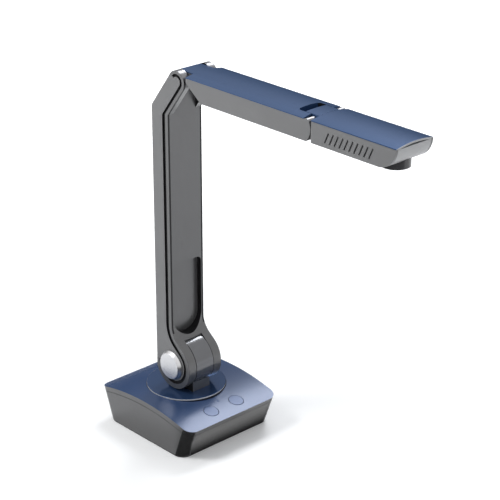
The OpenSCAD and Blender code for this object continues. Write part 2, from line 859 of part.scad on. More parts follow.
/* Arm */
cover_r = (arm_w * arm_w / 4 + arm_crown * arm_crown) / (2 * arm_crown);
rim_t = 0.8;
arm_seam = arm_top - rim_t;
chamfer_gap = crank_r + 0.6 * fold_gap;
scoop_x = head_tongue_w / 2 + side_gap;
swing_r = norm([head_gap + head_tongue_w / 6, arm_top + arm_crown - head_hinge[1]]) + side_gap;

// Cross-section under the crowned cover, d below its surface, seen along Y
module crown_section(d) {
    intersection() {
        translate([0, arm_top + arm_crown - cover_r]) circle(r = cover_r - d, $fn = 360);
        translate([-arm_w / 2, 0]) square([arm_w, 2 * hinge_z]);
    }
}

// Draws a cross-section out along Y, from y0 (front) to y1 (rear)
module length_extrude(y0, y1) {
    translate([0, y1, 0]) rotate([90, 0, 0]) linear_extrude(y1 - y0) children();
}

// Side view of the arm; its rear end clears the crank when it is folded
module arm_outline(d) {
    n = [-cos(crank_angle), sin(crank_angle)];
    near = chamfer_gap + d;
    start = -hinge_y - arm_start - d;
    bottom = arm_bottom + d;
    a_z = (near + n * hinge - n[0] * start) / n[1];
    b_y = (near + n * hinge - n[1] * bottom) / n[0];
    end_c = [head_back + arm_end_r + 6 * seam, (arm_bottom + arm_top) / 2 + arm_crown / 2];
    polygon([[start, arm_top + 2 * arm_crown], [start, a_z], [b_y, bottom], [end_c[0], bottom],
        [end_c[0], arm_top + 2 * arm_crown]]);
    intersection() {
        translate(end_c) circle(r = arm_end_r - d);
        translate([head_back, bottom]) square([arm_end_r + reach, arm_h + 2 * arm_crown]);
    }
}

module arm_lower_shell() {
    color("#828284")
        difference() {
            union() {
                difference() {
                    side_extrude(-arm_w / 2, arm_w / 2) arm_outline(0);
                    side_extrude(-arm_w / 2 + arm_wall, arm_w / 2 - arm_wall) arm_outline(arm_wall);
                }
                both_sides(scoop_x, arm_w / 2) translate(head_hinge) circle(r = barrel_r);
            }
            // Room for the cover
            difference() {
                translate([-arm_w, head_front, arm_seam - seam]) cube([2 * arm_w, 2 * reach, arm_h]);
                both_sides(scoop_x, arm_w) translate(head_hinge) circle(r = barrel_r);
            }
            // Way in for the hinge block
            translate([-tongue_w / 2 - seam, hinge[0] - arm_start - 2 * arm_wall, arm_bottom + arm_wall])
                cube([tongue_w + 2 * seam, 3 * arm_wall, arm_h]);
            rod(head_hinge, swing_r, -scoop_x, scoop_x);
            rod(head_hinge, pin_r / 2, -arm_w / 2 + arm_wall, arm_w);
            arm_screw_holes();
        }
}

module arm_top_cover() {
    scoop_back = head_hinge[0] + swing_r + scoop_len - side_gap;
    scoop_floor = hinge_z + barrel_r / 2 + cover_t;
    color("#4f6489")
        difference() {
            union() {
                intersection() {
                    length_extrude(head_front, hinge_y) difference() {
                        crown_section(0);
                        crown_section(cover_t);
                    }
                    side_extrude(-arm_w / 2, arm_w / 2) arm_outline(0);
                    translate([-arm_w, head_front, arm_seam]) cube([2 * arm_w, 2 * reach, arm_h]);
                }
                // Walls of the scoop
                intersection() {
                    translate([-scoop_x - cover_t, head_hinge[0] + swing_r / 2, scoop_floor - cover_t])
                        cube([2 * scoop_x + 2 * cover_t, scoop_back + cover_t - head_hinge[0] - swing_r / 2,
                            arm_h]);
                    length_extrude(head_front, hinge_y) crown_section(0);
                }
                // Hood over the tongue, as crowned as the cover
                intersection() {
                    side_extrude(-tongue_w / 2, tongue_w / 2) translate(hinge) difference() {
                        union() {
                            circle(r = crank_r);
                            translate([-arm_start - cover_t, 0]) square([arm_start + cover_t, crank_r]);
                        }
                        circle(r = crank_r - cover_t);
                        translate([-2 * arm_start, -2 * crank_r]) square([4 * arm_start, 2 * crank_r]);
                        translate([-2 * arm_start, -over]) square([2 * arm_start, crank_r - cover_t + over]);
                    }
                    length_extrude(head_front, hinge_y) crown_section(0);
                }
            }
            translate([0, head_hinge[0], scoop_floor]) linear_extrude(arm_h) {
                translate([-scoop_x, -over])
                    square([2 * scoop_x, scoop_back - scoop_r - head_hinge[0] + over]);
                translate([-scoop_x + scoop_r, 0])
                    square([2 * scoop_x - 2 * scoop_r, scoop_back - head_hinge[0]]);
                for (sx = [-1, 1])
                    translate([sx * (scoop_x - scoop_r), scoop_back - scoop_r - head_hinge[0]])
                        circle(r = scoop_r);
            }
            rod(head_hinge, swing_r, -scoop_x, scoop_x);
            // Room for the barrels on both sides of the tongue
            rod(head_hinge, barrel_r + side_gap / 2, -arm_w, arm_w);
            translate([-arm_w, head_hinge[0] - arm_w, 0])
                cube([2 * arm_w, arm_w + 4 * barrel_r / 5, 2 * hinge_z]);
        }
}

module arm_hinge_block() {
    r = crank_r - cover_t - seam;
    neck = hinge[0] - arm_start - 2 * arm_wall;
    root = hinge[0] - 3 * arm_start;
    color("#707276")
        difference() {
            union() {
                rod(hinge, r, -tongue_w / 2, tongue_w / 2);
                side_extrude(-tongue_w / 2, tongue_w / 2)
                    translate([neck, hinge_z - pin_r]) square([-neck + hinge[0], r + pin_r]);
                intersection() {
                    side_extrude(-tongue_w / 2, tongue_w / 2) intersection() {
                        arm_outline(arm_wall + seam);
                        translate([root, hinge_z - 2 * pin_r]) square([hinge[0] - root, 4 * pin_r + r]);
                    }
                    length_extrude(root, 0) crown_section(cover_t + seam);
                }
            }
            // Under the cover's rear edge
            difference() {
                translate([-tongue_w, root, hinge_z])
                    cube([2 * tongue_w, hinge[0] - arm_start - root + seam, arm_h]);
                length_extrude(root - over, 0) crown_section(cover_t + seam);
            }
            rod(hinge, pin_r + fit_gap, -tongue_w, tongue_w);
        }
}

arm_screw_r = 1.2;

module arm_screw_holes() {
    for (x = [-1, 1], y = arm_screw_y)
        translate([x * arm_w / 4, y, arm_bottom]) {
            translate([0, 0, -over]) cylinder(r = 2 * arm_screw_r, h = over + arm_screw_r + 2 * seam);
            cylinder(r = arm_screw_r, h = 2 * arm_wall);
        }
}

arm_screw_y = [hinge[0] - reach * 0.3, hinge[0] - reach * 0.75];
arm_spine_t = 2;

module arm_spine() {
    y0 = head_hinge[0] + swing_r + 2 * arm_wall;
    y1 = hinge[0] - 3.1 * arm_start;
    z = arm_bottom + arm_wall + seam;
    color("#8b8f94")
        difference() {
            translate([-arm_w / 3, y0, z]) cube([2 * arm_w / 3, y1 - y0, arm_spine_t]);
            for (x = [-1, 1], y = arm_screw_y)
                translate([x * arm_w / 4, y, arm_bottom]) cylinder(r = arm_screw_r, h = arm_h / 2);
        }
}

module arm_screws() {
    color("#a8abb0")
        for (x = [-1, 1], y = arm_screw_y)
            translate([x * arm_w / 4, y, arm_bottom + seam]) screw(arm_screw_r, arm_wall + arm_spine_t);
}

module arm_ribbon_cable() {
    y0 = head_hinge[0] + swing_r + 3 * arm_wall;
    y1 = hinge[0] - 3.2 * arm_start;
    color("#c8c4b8")
        translate([-cable_w / 2, y0, arm_bottom + arm_wall + arm_spine_t + 3 * seam])
            cube([cable_w, y1 - y0, cable_t]);
}

module head_hinge_pin() {
    color("#b4b7bb") rod(head_hinge, pin_r / 2, -arm_w / 2 + arm_wall, arm_w / 2 - arm_wall);
}

/* Head */
lens_c = [0, head_hinge[0] - lens_reach];
vent_mid = arm_bottom + arm_h * 0.44;

// Side view of the head, with its quarter-round nose
module head_outline(d) {
    z0 = arm_bottom + d;
    y1 = head_back - d;
    nose_c = [head_front + nose_r, arm_top];
    translate([nose_c[0], z0]) square([y1 - nose_c[0], arm_top - z0]);
    intersection() {
        translate(nose_c) circle(r = nose_r - d);
        translate([head_front, arm_bottom]) square([2 * nose_r, arm_h]);
    }
    translate([head_front + d, arm_top]) square([y1 - head_front - d, arm_crown]);
}

module vents() {
    for (i = [0 : vent_count - 1], sx = [0, 1])
        mirror([sx, 0, 0])
            translate([arm_w / 2 - arm_wall - over, head_back - vent_start - i * vent_pitch, vent_mid])
                rotate([vent_lean, 0, 0])
                    translate([0, -vent_w / 2, -vent_h / 2]) cube([arm_w, vent_w, vent_h]);
}

// The head's tongue is held in the shell by a narrower root
root_len = 3 * arm_wall;
root_w = head_tongue_w - 2 * arm_wall;

// The hole that the lens barrel stands in
module lens_hole() {
    translate([lens_c[0], lens_c[1], arm_bottom - over])
        cylinder(r = lens_r - arm_wall + fit_gap, h = over + arm_h / 2);
}

module head_screw_holes() {
    for (c = head_screw_at)
        translate([c[0], c[1], arm_bottom]) {
            translate([0, 0, -over]) cylinder(r = 2 * arm_screw_r, h = over + arm_screw_r + 2 * seam);
            cylinder(r = arm_screw_r, h = 2 * arm_wall);
        }
}

module head_lower_shell() {
    color("#828284")
        difference() {
            side_extrude(-arm_w / 2, arm_w / 2) head_outline(0);
            side_extrude(-arm_w / 2 + arm_wall, arm_w / 2 - arm_wall) head_outline(arm_wall);
            // Room for the cover
            translate([-arm_w, head_front - over, arm_seam - seam]) cube([2 * arm_w, 2 * head_len, arm_h]);
            // Room for the front panel between the side plates
            translate([-panel_w / 2 - seam, head_front - over, arm_bottom + arm_h / 8])
                cube([panel_w + 2 * seam, nose_r + over - lens_r / 2, arm_h]);
            vents();
            lens_hole();
            head_screw_holes();
            // Room for the tongue
            translate([-root_w / 2 - seam, head_back - root_len - seam, head_hinge[1] - barrel_r - seam])
                cube([root_w + 2 * seam, 2 * root_len, arm_h]);
        }
}

module head_top_cover() {
    color("#4f6489")
        intersection() {
            length_extrude(head_front - over, head_back) difference() {
                crown_section(0);
                crown_section(cover_t);
            }
            translate([-arm_w, head_front, arm_seam]) cube([2 * arm_w, head_len, arm_h]);
        }
}

module head_front_panel() {
    color("#b0b0b2")
        difference() {
            intersection() {
                side_extrude(-panel_w / 2, panel_w / 2) difference() {
                    head_outline(0);
                    head_outline(arm_wall);
                }
                translate([-arm_w, head_front - over, arm_bottom + arm_h / 8 + seam])
                    cube([2 * arm_w, nose_r - lens_r / 2 + over - seam, arm_h * 7 / 8 - rim_t - 2 * seam]);
            }
            lens_hole();
        }
}

// Tongue of the head, on the pin of the arm
module head_hinge_block() {
    r = arm_top + arm_crown - head_hinge[1];
    rear = head_hinge[0] + swing_r - side_gap - 2 * side_gap;
    w = head_tongue_w;
    color("#4f6489")
        difference() {
            intersection() {
                union() {
                    rod(head_hinge, barrel_r, -w / 2, w / 2);
                    translate([-w / 2, head_back + seam, head_hinge[1] - barrel_r])
                        cube([w, rear - head_back - seam, barrel_r + r]);
                    translate([-root_w / 2, head_back - root_len, head_hinge[1] - barrel_r])
                        cube([root_w, root_len + seam, barrel_r + arm_seam - cover_t - head_hinge[1]]);
                }
                length_extrude(head_back - arm_w, 0) crown_section(0);
                rod(head_hinge, swing_r - side_gap, -w, w);
            }
            rod(head_hinge, pin_r / 2 + fit_gap, -w, w);
        }
}

frame_t = 1.6;

module head_frame() {
    z = arm_bottom + arm_wall + seam;
    color("#8b8f94")
        difference() {
            translate([-arm_w / 3, lens_c[1] - lens_r / 4, z])
                cube([2 * arm_w / 3, head_back - 5 * arm_wall - lens_c[1] + lens_r / 4, frame_t]);
            translate([lens_c[0], lens_c[1], 0]) cylinder(r = lens_r + side_gap, h = 2 * hinge_z);
            for (c = head_screw_at) translate([c[0], c[1], 0]) cylinder(r = arm_screw_r, h = 2 * hinge_z);
        }
}

head_screw_at = [for (sx = [-1, 1], y = [head_back - head_len / 4, head_back - head_len / 2])
    [sx * arm_w / 4, y]];

module head_screws() {
    color("#a8abb0")
        for (c = head_screw_at)
            translate([c[0], c[1], arm_bottom + seam]) screw(arm_screw_r, arm_wall + frame_t);
}

holder_z = arm_bottom + arm_h * 0.42;
sensor_w = 10;

module lens_barrel() {
    color("#242427")
        difference() {
            union() {
                // The ring outside, which follows the curve of the nose
                difference() {
                    translate([lens_c[0], lens_c[1], arm_bottom - lens_proud])
                        cylinder(r = lens_r, h = lens_proud + arm_h / 2);
                    side_extrude(-arm_w / 2, arm_w / 2) head_outline(-seam);
                    translate([-arm_w, lens_c[1], arm_bottom - seam]) cube([2 * arm_w, arm_w, arm_h]);
                }
                translate([lens_c[0], lens_c[1], arm_bottom - lens_proud])
                    cylinder(r = lens_r - arm_wall, h = lens_proud + holder_z - arm_bottom);
            }
            translate([lens_c[0], lens_c[1], 0]) cylinder(r = lens_r - 2.4 * arm_wall, h = 2 * hinge_z);
            translate([lens_c[0], lens_c[1], 0])
                cylinder(r = lens_r - arm_wall, h = arm_bottom - lens_proud * 0.75);
        }
}

module lens_ring() {
    color("#3a3b3e")
        translate([lens_c[0], lens_c[1], arm_bottom - lens_proud]) difference() {
            cylinder(r = lens_r - arm_wall, h = lens_proud / 4);
            translate([0, 0, -over]) cylinder(r = lens_r - 2.6 * arm_wall, h = lens_proud + over);
        }
}

module lens_glass() {
    color("#20304a")
        translate([lens_c[0], lens_c[1], arm_bottom - lens_proud + lens_proud / 4 + seam])
            cylinder(r = lens_r - 2.4 * arm_wall, h = lens_proud / 2);
}

module lens_holder() {
    color("#1d1d20")
        translate([lens_c[0], lens_c[1], holder_z]) difference() {
            translate([-lens_r + arm_wall, -lens_r + arm_wall, 0])
                cube([2 * lens_r - 2 * arm_wall, 2 * lens_r - 2 * arm_wall, arm_h / 5]);
            translate([0, 0, -over]) cylinder(r = sensor_w * 0.8, h = arm_h);
        }
}

module camera_board() {
    color("#2d6a42")
        translate([-panel_w / 2 + 2 * arm_wall, lens_c[1] - lens_r + arm_wall, holder_z + arm_h / 5])
            cube([panel_w - 4 * arm_wall, 4 * lens_r, board_t]);
}

module image_sensor() {
    color("#101014")
        translate([lens_c[0] - sensor_w / 2, lens_c[1] - sensor_w / 2, holder_z + arm_h / 5 - board_t / 2])
            cube([sensor_w, sensor_w, board_t / 2]);
}

rubber_base_pad();
bottom_plate();
bottom_screws();
base_housing();
base_lid();
lid_screws();
ballast_plate();
main_board();
usb_socket();
button_board();
button_switches();
status_lamp();
bearing_ring();
button_left();
button_right();
turntable_disc();
swivel_hub();
swivel_retainer();
pedestal();
pedestal_screws();
pivot_shaft();
column_front_shell();
column_rear_cover();
column_spine();
pivot_bushes();
friction_washers();
pivot_cap_left();
pivot_cap_right();
column_screws();
column_ribbon_cable();
upper_hinge_pin();
arm_lower_shell();
arm_top_cover();
arm_hinge_block();
arm_spine();
arm_ribbon_cable();
arm_screws();
head_hinge_pin();
head_lower_shell();
head_top_cover();
head_front_panel();
head_hinge_block();
head_frame();
lens_barrel();
lens_glass();
lens_ring();
lens_holder();
camera_board();
image_sensor();
head_screws();
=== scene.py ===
"""Folding document camera, dressed for a studio picture.

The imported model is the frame: every piece here keeps the place of the node it
stands for. Sizes are in metres, X to the right, the front faces -Y, Z is up.
"""

import json
import math

import bpy
from mathutils import Matrix, Vector


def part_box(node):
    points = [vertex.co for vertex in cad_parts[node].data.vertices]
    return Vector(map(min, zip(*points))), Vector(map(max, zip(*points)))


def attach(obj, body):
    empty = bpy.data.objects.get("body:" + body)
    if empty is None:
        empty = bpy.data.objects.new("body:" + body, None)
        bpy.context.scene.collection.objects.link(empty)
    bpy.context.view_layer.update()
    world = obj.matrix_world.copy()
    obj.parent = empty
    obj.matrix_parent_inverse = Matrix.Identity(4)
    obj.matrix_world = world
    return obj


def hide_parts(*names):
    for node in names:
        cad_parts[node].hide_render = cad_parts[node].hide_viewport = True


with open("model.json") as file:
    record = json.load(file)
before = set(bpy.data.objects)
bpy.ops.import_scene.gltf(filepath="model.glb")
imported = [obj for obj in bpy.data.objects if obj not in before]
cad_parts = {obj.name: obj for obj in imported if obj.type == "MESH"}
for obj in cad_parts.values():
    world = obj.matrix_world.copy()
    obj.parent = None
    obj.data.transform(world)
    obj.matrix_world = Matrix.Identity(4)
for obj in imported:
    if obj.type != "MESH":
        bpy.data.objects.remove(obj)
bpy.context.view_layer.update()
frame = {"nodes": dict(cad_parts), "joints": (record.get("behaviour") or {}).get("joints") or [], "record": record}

MM = 0.001
DEG = math.pi / 180

# Camera, as the photograph was taken
PICTURE = 500
VIEW_AZIMUTH = -42.81 * DEG
VIEW_ELEVATION = 23.54 * DEG
VIEW_DISTANCE = 1.50997
VIEW_TARGET = Vector((0.00305, -0.07436, 0.20192))
FOCAL_PIXELS = 1684.37
CENTRE_PIXEL = 243.18
SENSOR = 36.0
FARTHEST_SEEN = 50

# Places and sizes that the frame gives
PIVOTS = {joint["name"]: Vector(joint["pos_m"]) for joint in frame["joints"] if joint["type"] == "hinge"}
DISC_CENTRE = PIVOTS["turntable_swivel"]
LOWER_PIVOT = PIVOTS["column_tilt"]
UPPER_HINGE = PIVOTS["arm_fold"]
HEAD_HINGE = PIVOTS["head_tilt"]


def far_corner(node):
    """Right side, rear and top of a node's box."""
    return Vector(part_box(node)[1])


BASE_HEIGHT = far_corner("base_lid").z
DISC_RADIUS = far_corner("turntable_disc").x
COLUMN_SIDE = far_corner("column_front_shell").x
CRANK_RADIUS = far_corner("column_front_shell").z - UPPER_HINGE.z
HEAD_SEAM = far_corner("head_lower_shell").y

# Lid
LID_BAND = 4.8 * MM
LID_GAP = 0.4 * MM
LID_INNER_X = 50 * MM
LID_INNER_Y = 55 * MM
CROWN_RADIUS = 250 * MM
SEAM_EDGE = 1.2 * MM

# Column, from its foot to its ears
KNUCKLE_FOOT = 47.5 * MM
SLOT_HALF_WIDTH = far_corner("pedestal").x + 0.5 * MM
CAP_HOLE_RADIUS = 15.4 * MM
GROOVE_FLOOR = COLUMN_SIDE - 1.6 * MM
CHAMFER_START = COLUMN_SIDE - 0.8 * MM
# Painted shade lines down the column's front edges: where they lie, and where they fade in above the boss
EDGE_LINE = COLUMN_SIDE - 1.8 * MM
EDGE_LINE_SOFTNESS = 0.3 * MM
EDGE_LINE_FOOT = 85 * MM
EDGE_LINE_FADE = 15 * MM
POCKET_HALF_WIDTH = 17.7 * MM
POCKET_FOOT = 93.5 * MM
POCKET_HEAD = 169.5 * MM
FORK_FOOT = 310 * MM
FORK_HALF_WIDTH = 14.5 * MM

# Arm's front end and the head's rear end
SCOOP_LEFT = 5 * MM
SCOOP_RIGHT = 14 * MM
SCOOP_MIDDLE = -162.5 * MM
SCOOP_REACH = 6 * MM
SEAM_REACH = 6 * MM
HEAD_BARREL_RADIUS = 3.8 * MM
HEAD_BARREL_DROP = 2 * MM

# How near a face lies to the size it is picked by
CLOSE = 0.1 * MM
NEAR = 0.2 * MM
ABOUT = 0.3 * MM
SLOT_EDGE = 0.4 * MM
RIM_EDGE = 0.5 * MM

# Pattern scales, in cells to a metre, and the stretch of a noise that a pattern uses
FLAKE_SCALE = 5200
LATHE_SCALE = 4200
ERODED_SCALE = 3600
RUBBER_SCALE = 1800
LAMP_SCALE = 900
TRACK_SCALE = 260
SHEEN_CLOUD_SCALE = 26
COLOR_CLOUD_SCALE = 18
ACROSS = (900, 60, 60)
ALONG = (60, 900, 900)
NOISE_LOW = 0.3
NOISE_HIGH = 0.7

# Relief depths of the finishes
FINE_RELIEF = 0.02 * MM
ERODED_RELIEF = 0.03 * MM
RUBBER_RELIEF = 0.08 * MM

# Level on the disc's side, above which a highlight is painted, and below it a shadow
RIM_LEVEL = 39.5 * MM
RIM_FADE = 0.2 * MM


def add_camera():
    data = bpy.data.cameras.new("photo_camera")
    data.sensor_width = SENSOR
    data.lens = SENSOR * FOCAL_PIXELS / PICTURE
    data.shift_x = (PICTURE / 2 - CENTRE_PIXEL) / PICTURE
    data.clip_end = FARTHEST_SEEN
    camera = bpy.data.objects.new("photo_camera", data)
    bpy.context.scene.collection.objects.link(camera)
    back = Vector((
        math.sin(VIEW_AZIMUTH) * math.cos(VIEW_ELEVATION),
        -math.cos(VIEW_AZIMUTH) * math.cos(VIEW_ELEVATION),
        math.sin(VIEW_ELEVATION),
    ))
    right = Vector((math.cos(VIEW_AZIMUTH), math.sin(VIEW_AZIMUTH), 0))
    up = back.cross(right)
    turn = Matrix((right, up, back)).transposed().to_4x4()
    camera.matrix_world = Matrix.Translation(VIEW_TARGET + back * VIEW_DISTANCE) @ turn
    bpy.context.scene.camera = camera


# Patterns. They read Object coordinates, which are the frame's metres.

def object_place(tree):
    return tree.nodes.new("ShaderNodeTexCoord").outputs["Object"]


def along_axis(tree, place, axis):
    parts = tree.nodes.new("ShaderNodeSeparateXYZ")
    tree.links.new(place, parts.inputs[0])
    return parts.outputs[axis]


def calculated(tree, operation, *values):
    node = tree.nodes.new("ShaderNodeMath")
    node.operation = operation
    for value, socket in zip(values, node.inputs):
        tree.links.new(value, socket)
    return node.outputs[0]


def vector_step(tree, operation, vector, other):
    """A vector less another, or times another, axis by axis."""
    node = tree.nodes.new("ShaderNodeVectorMath")
    node.operation = operation
    node.inputs[1].default_value = other
    tree.links.new(vector, node.inputs[0])
    return node.outputs["Vector"]


def vector_length(tree, vector):
    node = tree.nodes.new("ShaderNodeVectorMath")
    node.operation = "LENGTH"
    tree.links.new(vector, node.inputs[0])
    return node.outputs["Value"]


def ranged(tree, value, start, end, low=0.0, high=1.0, smooth=False):
    """Low where the value is below start, high where it is above end."""
    node = tree.nodes.new("ShaderNodeMapRange")
    if smooth:
        node.interpolation_type = "SMOOTHSTEP"
    node.inputs["From Min"].default_value = start
    node.inputs["From Max"].default_value = end
    node.inputs["To Min"].default_value = low
    node.inputs["To Max"].default_value = high
    tree.links.new(value, node.inputs["Value"])
    return node.outputs["Result"]


def noise(tree, place, scale, detail=4.0):
    node = tree.nodes.new("ShaderNodeTexNoise")
    node.inputs["Scale"].default_value = scale
    node.inputs["Detail"].default_value = detail
    node.inputs["Roughness"].default_value = 0.55
    tree.links.new(place, node.inputs["Vector"])
    return node.outputs["Fac"]


def drawn_out(tree, place, scale):
    """Noise stretched along an axis, for brushed metal."""
    mapping = tree.nodes.new("ShaderNodeMapping")
    mapping.inputs["Scale"].default_value = scale
    tree.links.new(place, mapping.inputs["Vector"])
    return noise(tree, mapping.outputs["Vector"], 1.0, detail=3)


def lathe_rings(tree, place, centre, keep):
    """Fine rings about an axis through centre; keep is 0 along that axis and 1 across it."""
    across = vector_step(tree, "MULTIPLY", vector_step(tree, "SUBTRACT", place, centre), keep)
    rings = tree.nodes.new("ShaderNodeTexNoise")
    rings.noise_dimensions = "1D"
    rings.inputs["Scale"].default_value = LATHE_SCALE
    rings.inputs["Detail"].default_value = 2
    tree.links.new(vector_length(tree, across), rings.inputs["W"])
    return rings.outputs["Fac"]


# Finishes

def new_material(name, color, metallic, roughness, specular=0.5):
    """A material with its node tree, its shader and its Object coordinates."""
    material = bpy.data.materials.new(name)
    material.use_nodes = True
    tree = material.node_tree
    shader = tree.nodes["Principled BSDF"]
    shader.inputs["Base Color"].default_value = (*color, 1)
    shader.inputs["Metallic"].default_value = metallic
    shader.inputs["Roughness"].default_value = roughness
    shader.inputs["Specular IOR Level"].default_value = specular
    return material, tree, shader, object_place(tree)


def shade(color, factor):
    return tuple(min(1.0, part * factor) for part in color)


def tint(tree, shader, pattern, dark, light):
    """Base colour that runs from dark to light with a pattern."""
    ramp = tree.nodes.new("ShaderNodeValToRGB")
    first, last = ramp.color_ramp.elements
    first.position = NOISE_LOW
    first.color = (*dark, 1)
    last.position = NOISE_HIGH
    last.color = (*light, 1)
    tree.links.new(pattern, ramp.inputs["Fac"])
    tree.links.new(ramp.outputs["Color"], shader.inputs["Base Color"])


def vary_roughness(tree, shader, pattern, roughness, spread):
    low = roughness * (1 - spread)
    high = roughness * (1 + spread)
    varied = ranged(tree, pattern, NOISE_LOW, NOISE_HIGH, low, high)
    tree.links.new(varied, shader.inputs["Roughness"])


def bump(tree, shader, height, strength, depth):
    node = tree.nodes.new("ShaderNodeBump")
    node.inputs["Strength"].default_value = strength
    node.inputs["Distance"].default_value = depth
    tree.links.new(height, node.inputs["Height"])
    tree.links.new(node.outputs["Normal"], shader.inputs["Normal"])


def satin_metal(name, color, metallic, roughness, specular):
    """Blue finish of the lid and the covers: flake in the colour, a soft sheen above."""
    material, tree, shader, place = new_material(name, color, metallic, roughness, specular)
    flake = noise(tree, place, FLAKE_SCALE, detail=2)
    tint(tree, shader, flake, shade(color, 0.96), shade(color, 1.04))
    vary_roughness(tree, shader, noise(tree, place, SHEEN_CLOUD_SCALE), roughness, 0.04)
    bump(tree, shader, flake, 0.02, FINE_RELIEF)
    return material


def moulded(name, color, roughness=0.45, specular=0.4, metallic=0.0):
    """Finely eroded moulding, plain or painted with flake."""
    material, tree, shader, place = new_material(name, color, metallic, roughness, specular)
    eroded = noise(tree, place, ERODED_SCALE, detail=3)
    tint(tree, shader, noise(tree, place, COLOR_CLOUD_SCALE), shade(color, 0.96), shade(color, 1.04))
    vary_roughness(tree, shader, eroded, roughness, 0.1)
    bump(tree, shader, eroded, 0.25, ERODED_RELIEF)
    return material


def brushed(name, color, roughness, scale):
    """Metal with grain drawn along one axis."""
    material, tree, shader, place = new_material(name, color, 1.0, roughness)
    grain = drawn_out(tree, place, scale)
    tint(tree, shader, grain, shade(color, 0.92), shade(color, 1.06))
    vary_roughness(tree, shader, grain, roughness, 0.2)
    bump(tree, shader, grain, 0.1, FINE_RELIEF)
    return material


def turned(name, color, roughness, centre, keep):
    """Metal turned on a lathe."""
    material, tree, shader, place = new_material(name, color, 1.0, roughness)
    rings = lathe_rings(tree, place, centre, keep)
    tint(tree, shader, rings, shade(color, 0.94), shade(color, 1.05))
    vary_roughness(tree, shader, rings, roughness, 0.15)
    bump(tree, shader, rings, 0.05, FINE_RELIEF)
    return material


def painted_rim_light(name, color, below):
    """Side of the disc, with a painted highlight above a level and a painted shadow below it."""
    material, tree, shader, place = new_material(name, color, 0.3, 0.25)
    step = ranged(tree, along_axis(tree, place, "Z"), RIM_LEVEL, RIM_LEVEL + RIM_FADE)
    tint(tree, shader, step, below, color)
    bump(tree, shader, noise(tree, place, ERODED_SCALE, detail=3), 0.2, FINE_RELIEF)
    return material


def shade_lined(name, color, shade_color):
    """Painted moulding with painted shade lines down the column's front edges, from above its boss."""
    roughness = 0.3
    material, tree, shader, place = new_material(name, color, 0.6, roughness, 0.4)
    eroded = noise(tree, place, ERODED_SCALE, detail=3)
    from_middle = calculated(tree, "ABSOLUTE", along_axis(tree, place, "X"))
    line = ranged(tree, from_middle, EDGE_LINE - EDGE_LINE_SOFTNESS, EDGE_LINE)
    upward = ranged(tree, along_axis(tree, place, "Z"), EDGE_LINE_FOOT, EDGE_LINE_FOOT + EDGE_LINE_FADE)
    tint(tree, shader, calculated(tree, "MULTIPLY", line, upward), color, shade_color)
    vary_roughness(tree, shader, eroded, roughness, 0.1)
    bump(tree, shader, eroded, 0.25, ERODED_RELIEF)
    return material


def circuit_board(name, color):
    """Solder mask with the faint relief of tracks under it."""
    material, tree, shader, place = new_material(name, color, 0.0, 0.3)
    tracks = tree.nodes.new("ShaderNodeTexBrick")
    tracks.inputs["Scale"].default_value = TRACK_SCALE
    tracks.inputs["Color1"].default_value = (*shade(color, 0.9), 1)
    tracks.inputs["Color2"].default_value = (*color, 1)
    tracks.inputs["Mortar"].default_value = (*shade(color, 1.5), 1)
    tree.links.new(place, tracks.inputs["Vector"])
    tree.links.new(tracks.outputs["Color"], shader.inputs["Base Color"])
    bump(tree, shader, tracks.outputs["Fac"], 0.2, ERODED_RELIEF)
    return material


def rubber(name, color):
    material, tree, shader, place = new_material(name, color, 0.0, 0.8, 0.25)
    grain = noise(tree, place, RUBBER_SCALE, detail=5)
    tint(tree, shader, grain, shade(color, 0.8), shade(color, 1.3))
    bump(tree, shader, grain, 0.4, RUBBER_RELIEF)
    return material


def coated_glass(name, color, slant_color):
    """Front lens: dark glass whose coating shows where it is seen aslant."""
    material, tree, shader, place = new_material(name, color, 0.0, 0.04, 0.6)
    shader.inputs["Coat Weight"].default_value = 1.0
    shader.inputs["Coat Roughness"].default_value = 0.02
    shader.inputs["Transmission Weight"].default_value = 0.35
    slant = tree.nodes.new("ShaderNodeLayerWeight")
    slant.inputs["Blend"].default_value = 0.45
    tint(tree, shader, slant.outputs["Facing"], color, slant_color)
    return material


def clear_lamp(name, color):
    material, tree, shader, place = new_material(name, color, 0.0, 0.15)
    tint(tree, shader, noise(tree, place, LAMP_SCALE), shade(color, 0.85), color)
    return material


COVER_BLUE = (0.036, 0.078, 0.178)
LID_BLUE = (0.031, 0.062, 0.148)
DISC_BLUE = (0.036, 0.075, 0.175)
BUTTON_BLUE = (0.035, 0.070, 0.17)
COLUMN_GREY = (0.135, 0.135, 0.137)
# Crank face painted lighter than the column: a painted reflection
CRANK_PAINTED_LIGHT_GREY = (0.235, 0.235, 0.238)
# Colour of the painted shade lines down the column's front edges
SHADE_LINE_BLACK = (0.012, 0.012, 0.013)
# Painted highlight and painted shadow on the disc's side
RIM_PAINTED_HIGHLIGHT = (0.6, 0.6, 0.61)
RIM_SHADE = (0.02, 0.022, 0.028)
CAP_SILVER = (0.66, 0.66, 0.67)
LENS_DARK = (0.012, 0.014, 0.022)
LENS_COATING = (0.10, 0.07, 0.20)

